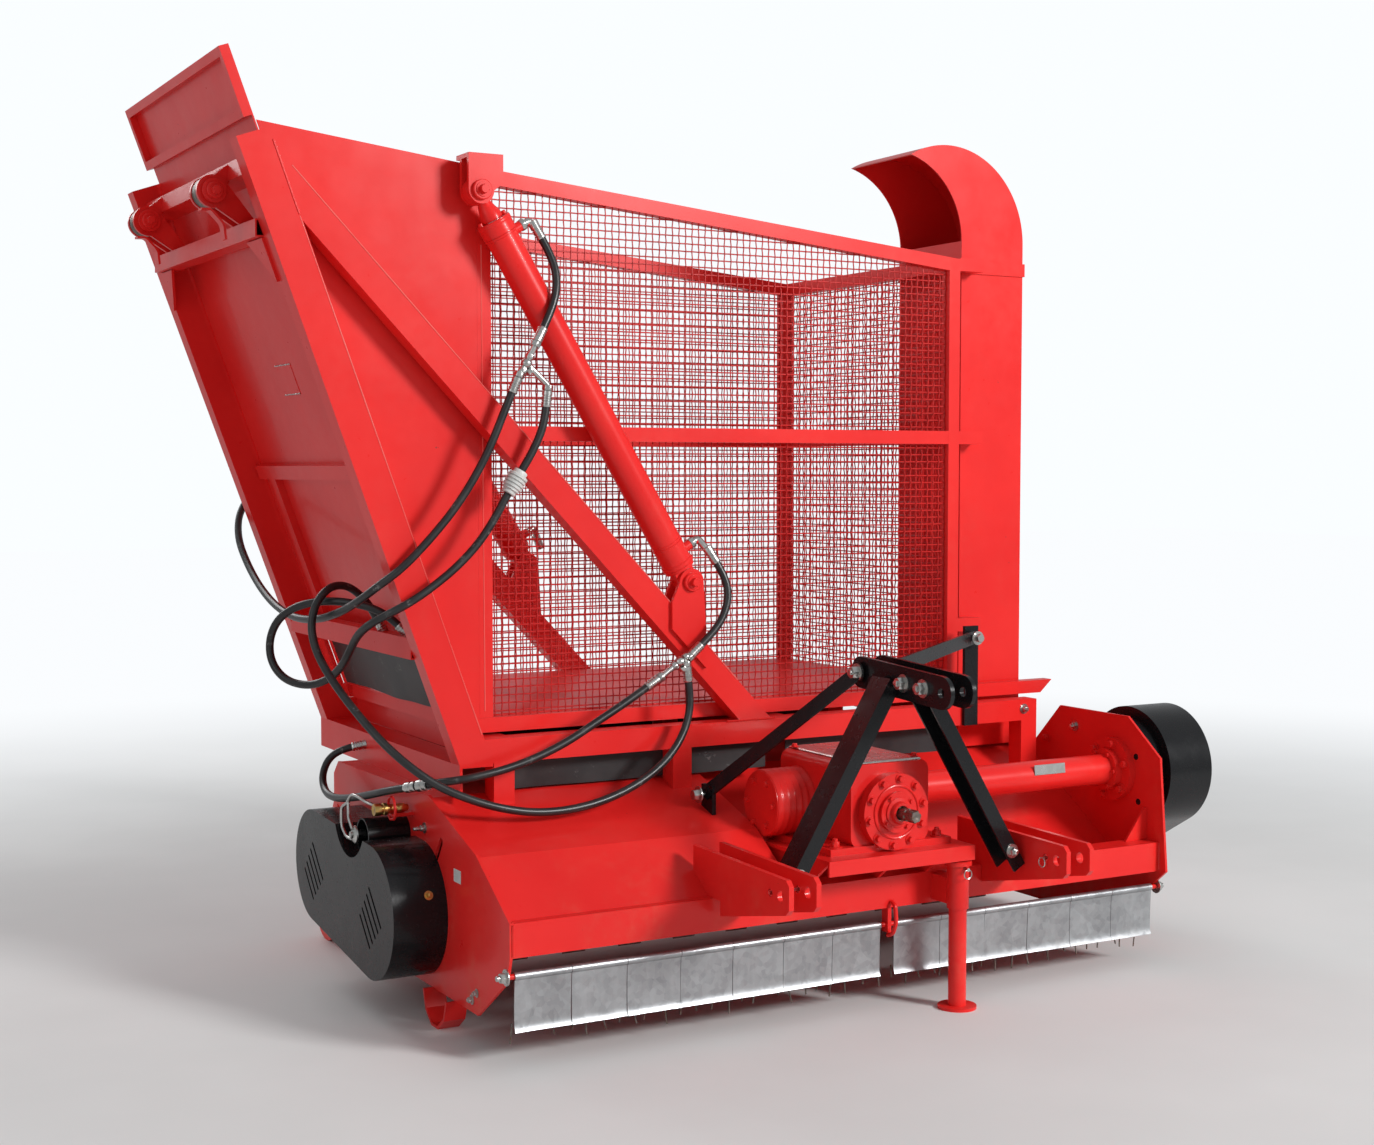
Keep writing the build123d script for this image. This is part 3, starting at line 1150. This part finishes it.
def hopper_hinges():
    """Rail on the outside of the leaning wall, with a knuckle round each hinge pin."""
    z0 = PIVOT_Z + 30
    z1 = z0 + 45
    left = PIVOT_X + 42
    rail = slab_y([(left, z0), (hopper_left(z0), z0), (hopper_left(z1), z1), (left, z1)],
                  HOPPER_Y0, HOPPER_Y1)
    for y in hinge_middles():
        half = KNUCKLE_WIDTH / 2
        arm = Polygon((PIVOT_X - 8, PIVOT_Z + 30), (PIVOT_X + 20, PIVOT_Z - 24), (left + 4, z0),
                      (left + 4, z1), align=None)
        arm += Pos(PIVOT_X, PIVOT_Z) * Circle(KNUCKLE_R)
        rail += along_y(arm, y - half, y + half)
        rail -= drum_y(PIVOT_X, PIVOT_Z, PIVOT_R + FIT, y - half - 1, y + half + 1)
    return rail


def cylinder_ears():
    """Boxed ears beside the hopper's corner posts that take the rods' eyes."""
    x, z = CYL_HIGH_X, CYL_HIGH_Z
    shape = Polygon((x - EYE_R + 2, z), (x + EYE_R - 2, z), (x + EAR_SIDE + 10, z + 20),
                    (x + EAR_SIDE + 10, z + EAR_TOP), (x - EYE_R + 2, z + EAR_TOP), align=None)
    shape += Pos(x, z) * Circle(EYE_R - 2)
    front = CYL_Y - EYE_WIDTH / 2 - EYE_GAP
    rear = CYL_Y + EYE_WIDTH / 2 + EYE_GAP
    ear = along_y(shape, front - LUG_THICK, front)
    ear += along_y(shape, rear, rear + LUG_THICK)
    ear += drum_y(x, z, CYL_PIN_R, front - LUG_THICK - 10, front - LUG_THICK)
    ear += block(x - EYE_R + 2, x + EAR_SIDE + 10, front - LUG_THICK, HOPPER_Y0, z + EAR_TOP - 12,
                 z + EAR_TOP)
    ear += block(x + EAR_SIDE, x + EAR_SIDE + 10, front - LUG_THICK, HOPPER_Y0, z + 20,
                 z + EAR_TOP)
    return both_sides(ear)


# ================================================================ blower duct
def blower_duct():
    """Square duct with the band at its top and its ties to the hopper."""
    y0 = HOPPER_Y0 + DUCT_SETBACK
    y1 = y0 + DUCT_DEPTH
    low = HOPPER_LOW + TRAY_THICK
    duct = block(DUCT_LEFT, DUCT_RIGHT, y0, y1, low, DUCT_TOP)
    grow = 5
    duct += block(DUCT_LEFT - grow, DUCT_RIGHT + grow, y0 - grow, y1 + grow,
                  DUCT_TOP - DUCT_BAND, DUCT_TOP)
    for z0 in (DUCT_TOP - DUCT_BAND, HOPPER_MID_Z - DUCT_BAND, low + 200):
        duct += block(HOPPER_RIGHT, DUCT_LEFT + 1, HOPPER_Y0, HOPPER_Y0 + RAIL, z0, z0 + DUCT_BAND)
        duct += block(DUCT_LEFT, DUCT_LEFT + 40, HOPPER_Y0, y0 + 1, z0, z0 + DUCT_BAND)
    inner = block(DUCT_LEFT + DUCT_WALL, DUCT_RIGHT - DUCT_WALL, y0 + DUCT_WALL, y1 - DUCT_WALL,
                  low - 1, DUCT_TOP + 1)
    return duct - inner


def duct_tray():
    """Rails and flange plate under the duct."""
    y0 = HOPPER_Y0 + DUCT_SETBACK
    y1 = y0 + DUCT_DEPTH
    z0 = HOPPER_LOW
    tray = block(HOPPER_RIGHT, DUCT_RIGHT + 30, HOPPER_Y0 + RAIL, y1 + 40, z0, z0 + TRAY_THICK)
    for y in (HOPPER_Y0, y1 + 40):
        tray += slab_y([(HOPPER_RIGHT, z0), (TRAY_RIGHT - 45, z0), (TRAY_RIGHT, z0 + RAIL),
                        (HOPPER_RIGHT, z0 + RAIL)], y, y + RAIL)
    return tray - block(DUCT_LEFT + DUCT_WALL, DUCT_RIGHT - DUCT_WALL, y0 + DUCT_WALL,
                        y1 - DUCT_WALL, z0 - 1, z0 + TRAY_THICK + 1)


def duct_hood():
    """Curved spout, open below, that throws the crop into the hopper."""
    y0 = HOPPER_Y0 + DUCT_SETBACK
    y1 = y0 + DUCT_DEPTH
    outer_x = DUCT_RIGHT - HOOD_OUTER_R
    inner_x = DUCT_LEFT - HOOD_INNER_R
    outer = Pos(outer_x, HOOD_AXIS_Z) * Circle(HOOD_OUTER_R)
    shape = outer - Pos(inner_x, HOOD_AXIS_Z) * Circle(HOOD_INNER_R)
    keep = Pos(HOOD_TIP_X, HOOD_AXIS_Z) * Rectangle(800, 800, align=(Align.MIN, Align.MIN))
    shape = shape & keep
    shape += Polygon((DUCT_LEFT, DUCT_TOP), (DUCT_RIGHT, DUCT_TOP), (DUCT_RIGHT, HOOD_AXIS_Z),
                     (DUCT_LEFT, HOOD_AXIS_Z), align=None)
    solid = along_y(shape, y0, y1)
    room = Pos(outer_x, HOOD_AXIS_Z) * Circle(HOOD_OUTER_R - DUCT_WALL)
    room += Pos(outer_x, HOOD_AXIS_Z) * Rectangle(2 * (HOOD_OUTER_R - DUCT_WALL), 800,
                                                  align=(Align.CENTER, Align.MAX))
    room -= Pos(DUCT_LEFT + DUCT_WALL, HOOD_AXIS_Z) * Rectangle(
        800, 800, align=(Align.MAX, Align.MAX))
    return solid - along_y(room, y0 + DUCT_WALL, y1 - DUCT_WALL)


# ================================================================ tip cylinders
def cylinder_axis():
    """Unit vector from the lower to the upper pin, and the distance between them."""
    dx = CYL_HIGH_X - CYL_LOW_X
    dz = CYL_HIGH_Z - CYL_LOW_Z
    length = math.hypot(dx, dz)
    return dx / length, dz / length, length


def on_axis(distance):
    """Point on a front cylinder's axis at a distance from its lower pin."""
    ux, uz, length = cylinder_axis()
    return CYL_LOW_X + ux * distance, CYL_Y, CYL_LOW_Z + uz * distance


def pipe(points, r, bends):
    """Round bar along straight runs joined by tangent arcs."""
    path = FilletPolyline(*points, radius=bends)
    return sweep(Plane(origin=path @ 0, z_dir=path % 0) * Circle(r), path=path)


def port(distance, hose):
    """Boss and steel elbow on the barrel's right side, up to the hose's first point."""
    ux, uz, length = cylinder_axis()
    x, y, z = on_axis(distance)
    out = [(x + uz * d, y, z - ux * d) for d in (BARREL_R - 3, BARREL_R + 20, BARREL_R + 48)]
    first, second = (Vector(*p) for p in HOSE_ROUTES[hose][:2])
    back = (first - second).normalized()
    boss = round_bar(out[0], out[1], FERRULE_R)
    elbow = pipe([out[1], out[2], tuple(first + back * 12)], PIPE_R, [ELBOW_BEND])
    return boss + elbow + round_bar(tuple(first), tuple(first + back * 24), FERRULE_R - 2)


def barrel():
    """Barrel of the front cylinder with its tail eye and gland."""
    length = cylinder_axis()[2]
    end = length - BARREL_HEAD
    tube = round_bar(on_axis(BARREL_TAIL), on_axis(end - GLAND_LENGTH), BARREL_R)
    tube += round_bar(on_axis(end - GLAND_LENGTH), on_axis(end), GLAND_R)
    tube -= round_bar(on_axis(BARREL_TAIL + BARREL_CAP), on_axis(end - GLAND_LENGTH), BORE_R)
    tube -= round_bar(on_axis(end - GLAND_LENGTH - 1), on_axis(end + 1), ROD_R + FIT)
    half = EYE_WIDTH / 2
    eye = drum_y(CYL_LOW_X, CYL_LOW_Z, EYE_R - 4, CYL_Y - half, CYL_Y + half)
    eye += bar(on_axis(0), on_axis(BARREL_TAIL + 2), 2 * EYE_R - 16, EYE_WIDTH)
    eye -= drum_y(CYL_LOW_X, CYL_LOW_Z, CYL_PIN_R + FIT, CYL_Y - half - 1, CYL_Y + half + 1)
    return tube + eye + port(TOP_PORT, "hose_1") + port(LOW_PORT, "hose_4")


def rod():
    """Rod of the front cylinder with its piston and solid eye."""
    length = cylinder_axis()[2]
    half = EYE_WIDTH / 2
    shaft = round_bar(on_axis(ROD_START), on_axis(length - ROD_NECK), ROD_R)
    shaft += round_bar(on_axis(ROD_START), on_axis(ROD_START + PISTON_LENGTH), BORE_R - FIT)
    shaft += bar(on_axis(length - ROD_NECK - 10), on_axis(length), 2 * EYE_R - 20, EYE_WIDTH)
    return shaft + drum_y(CYL_HIGH_X, CYL_HIGH_Z, EYE_R - 2, CYL_Y - half, CYL_Y + half)


# ================================================================ hoses
def hose_bends(points):
    """Radius of each bend: as large as the two runs beside it allow."""
    radii = []
    for before, here, after in zip(points, points[1:], points[2:]):
        first = Vector(*here) - Vector(*before)
        second = Vector(*after) - Vector(*here)
        turn = math.radians(first.get_angle(second))
        radii.append(ARC_SHARE * min(first.length, second.length) / math.tan(turn / 2))
    return radii


def hose(name):
    """Tube of one hose along its route."""
    points = HOSE_ROUTES[name]
    radii = hose_bends(points)
    tube = pipe(points, HOSE_R, radii)
    path = FilletPolyline(*points, radius=radii)
    ratio = tube.volume / (math.pi * HOSE_R ** 2 * path.length)
    print(name, "length", round(path.length), "smallest bend", round(min(radii)),
          "volume ratio", round(ratio, 4))
    return tube


def end_of(name, last=True):
    """End point of a hose and the unit vector that leads on from it."""
    points = HOSE_ROUTES[name][-2:] if last else HOSE_ROUTES[name][1::-1]
    a, b = (Vector(*p) for p in points)
    return b, (b - a).normalized()


def tee(centre, hoses):
    """Tee with a ferrule towards each hose end given as (name, whether it is the last end)."""
    body = Pos(*centre) * Sphere(FERRULE_R + 1)
    for name, last in hoses:
        end, away = end_of(name, last)
        body += round_bar(tuple(end), tuple(end + away * FERRULE), FERRULE_R)
        body += round_bar(tuple(end + away * (FERRULE - 6)), centre, PIPE_R)
    return body


def sleeve(name, run, start, stop, r):
    """Sleeve on one straight run of a hose, between two distances from the run's start."""
    a, b = (Vector(*p) for p in HOSE_ROUTES[name][run:run + 2])
    along = (b - a).normalized()
    return round_bar(tuple(a + along * start), tuple(a + along * stop), r, HOSE_R + SLEEVE_GAP)


def end_fitting(name, length):
    """Ferrule that carries on a hose's last run."""
    end, away = end_of(name)
    return round_bar(tuple(end), tuple(end + away * length), FERRULE_R)


def hose_fittings():
    """Tees, restrictor, couplings and the ends on the low rail and the side skirt."""
    x0 = column_outer(LOW_RAIL_Z)
    rail = block(x0, x0 + LOW_RAIL_WIDTH, FRAME_Y, REAR_FRAME_Y, LOW_RAIL_Z - 28, LOW_RAIL_Z + 28)
    skirt = block(column_outer(BASE_LOW), HALF, FRAME_Y, REAR_FRAME_Y, HOOD_TOP, BASE_LOW)
    first = (Vector(*HOSE_ROUTES["hose_3"][RESTRICTOR_RUN])
             - Vector(*HOSE_ROUTES["hose_3"][RESTRICTOR_RUN + 1])).length
    return all_of(
        tee(HIGH_TEE, (("hose_1", True), ("hose_2", False), ("hose_3", False))),
        tee(LOW_TEE, (("hose_4", True), ("hose_5", False), ("hose_6", False))),
        sleeve("hose_3", RESTRICTOR_RUN, 6, first - 6, 2 * FERRULE_R),
        sleeve("hose_5", COUPLING_RUN, 40, 84, FERRULE_R + 3),
        sleeve("hose_5", COUPLING_RUN, 88, 132, FERRULE_R + 1),
        end_fitting("hose_3", 40) - rail,
        end_fitting("hose_6", 40) - rail,
        end_fitting("hose_5", 40) - skirt,
    )


def hose_coupler():
    """Brass coupler parked on its bracket."""
    end = -HALF - COUPLER_OUT
    body = drum_x(COUPLER_Y, COUPLER_Z, COUPLER_R, end - COUPLER_LENGTH, end)
    body += drum_x(COUPLER_Y, COUPLER_Z, COUPLER_R + 4, end - COUPLER_LENGTH, end - 60)
    top = COUPLER_Z - COUPLER_R - WELD
    bracket = block(end - 50, -HALF, COUPLER_Y - 12, COUPLER_Y + 12, top - PLATE, top)
    return all_of(body, bracket)


# ================================================================ the whole machine
def place_rear(shape):
    """A front piece mirrored to the rear side of the hopper."""
    return mirror(shape, Plane.XZ.offset(-FRAME_MID))


def build():
    """Every node by name."""
    legs = mast_legs()
    head = mast_head()
    nodes = {
        "left_end_plate": end_plate(LEFT_PLATE, -HALF) - plate_slot(),
        "right_end_plate": end_plate(RIGHT_PLATE, INNER),
        "front_beam": front_beam(),
        "left_hood": left_hood(),
        "right_hood": right_hood(),
        "rear_trough": rear_trough(),
        "fan_outlet": fan_outlet(),
        "skids": all_of(skid(-HALF + PLATE / 2), skid(HALF - PLATE / 2)),
        "roller_arms": all_of(roller_arm(-INNER), roller_arm(INNER - ARM_THICK)),
        "flap_rod": flap_rod(),
        "lower_ears": lower_ears(),
        "mast_frame": head + legs[0] + legs[1],
        "mast_stays": mast_stays(),
        "gearbox": gearbox(),
        "gearbox_table": gearbox_table(),
        "drive_tube": drive_tube(),
        "jack_sleeve": jack_sleeve(),
        "left_cover": left_cover(),
        "right_cover": right_cover(),
        "tube_holder": tube_holder(),
        "base_frame": base_frame(),
        "base_supports": base_supports(),
        "side_skirt": side_skirt(),
        "tip_columns": tip_columns(),
        "tip_diagonals": tip_diagonals(),
        "tip_rails": tip_rails(),
        "hinge_cheeks": hinge_cheeks(),
        "rubber_aprons": rubber_aprons(),
        "rotor_tube": rotor_tube(),
        "flails": rotor_flails(),
        "rear_roller": rear_roller(),
        "flaps_left": flap_group(0, FLAP_COUNT_LEFT),
        "flaps_right": flap_group(FLAP_COUNT_LEFT, FLAP_COUNT_LEFT + FLAP_COUNT_RIGHT),
        "input_shaft": input_shaft(),
        "jack_leg": jack_leg(),
        "barrel_front": barrel(),
        "barrel_rear": place_rear(barrel()),
        "rod_front": rod(),
        "rod_rear": place_rear(rod()),
        "hopper_rails": hopper_rails(),
        "hopper_floor": hopper_floor(),
        "hopper_sheets": hopper_sheets(),
        "left_wall": left_wall(),
        "wall_apron": wall_apron(),
        "hopper_mesh": hopper_mesh(),
        "hopper_hinges": hopper_hinges(),
        "cylinder_ears": cylinder_ears(),
        "blower_duct": blower_duct(),
        "duct_tray": duct_tray(),
        "duct_hood": duct_hood(),
        "hose_fittings": hose_fittings(),
        "hose_coupler": hose_coupler(),
    }
    nodes.update({name: hose(name) for name in HOSE_ROUTES})
    return nodes


def centre_shift(nodes):
    """Shift that brings the point under the middle of the machine, without its hoses, to the origin."""
    rigid = [shape for name, shape in nodes.items() if not name.startswith("hose")]
    box = Compound(children=[Compound(children=shape.solids()) for shape in rigid]).bounding_box()
    return Vector(-round((box.min.X + box.max.X) / 2, 1), -round((box.min.Y + box.max.Y) / 2, 1), 0)


def main():
    """Build, shift and write every node."""
    os.makedirs("parts", exist_ok=True)
    nodes = build()
    shift = centre_shift(nodes)
    print("shift", shift.X, shift.Y)
    for name, shape in nodes.items():
        solids = shape.solids()
        moved = [Pos(shift.X, shift.Y, 0) * solid for solid in solids]
        part = moved[0] if len(moved) == 1 else Compound(children=moved)
        export_step(part, f"parts/{name}.step")
        print(name, len(solids), round(sum(s.volume for s in solids) / 1e6, 3))


main()
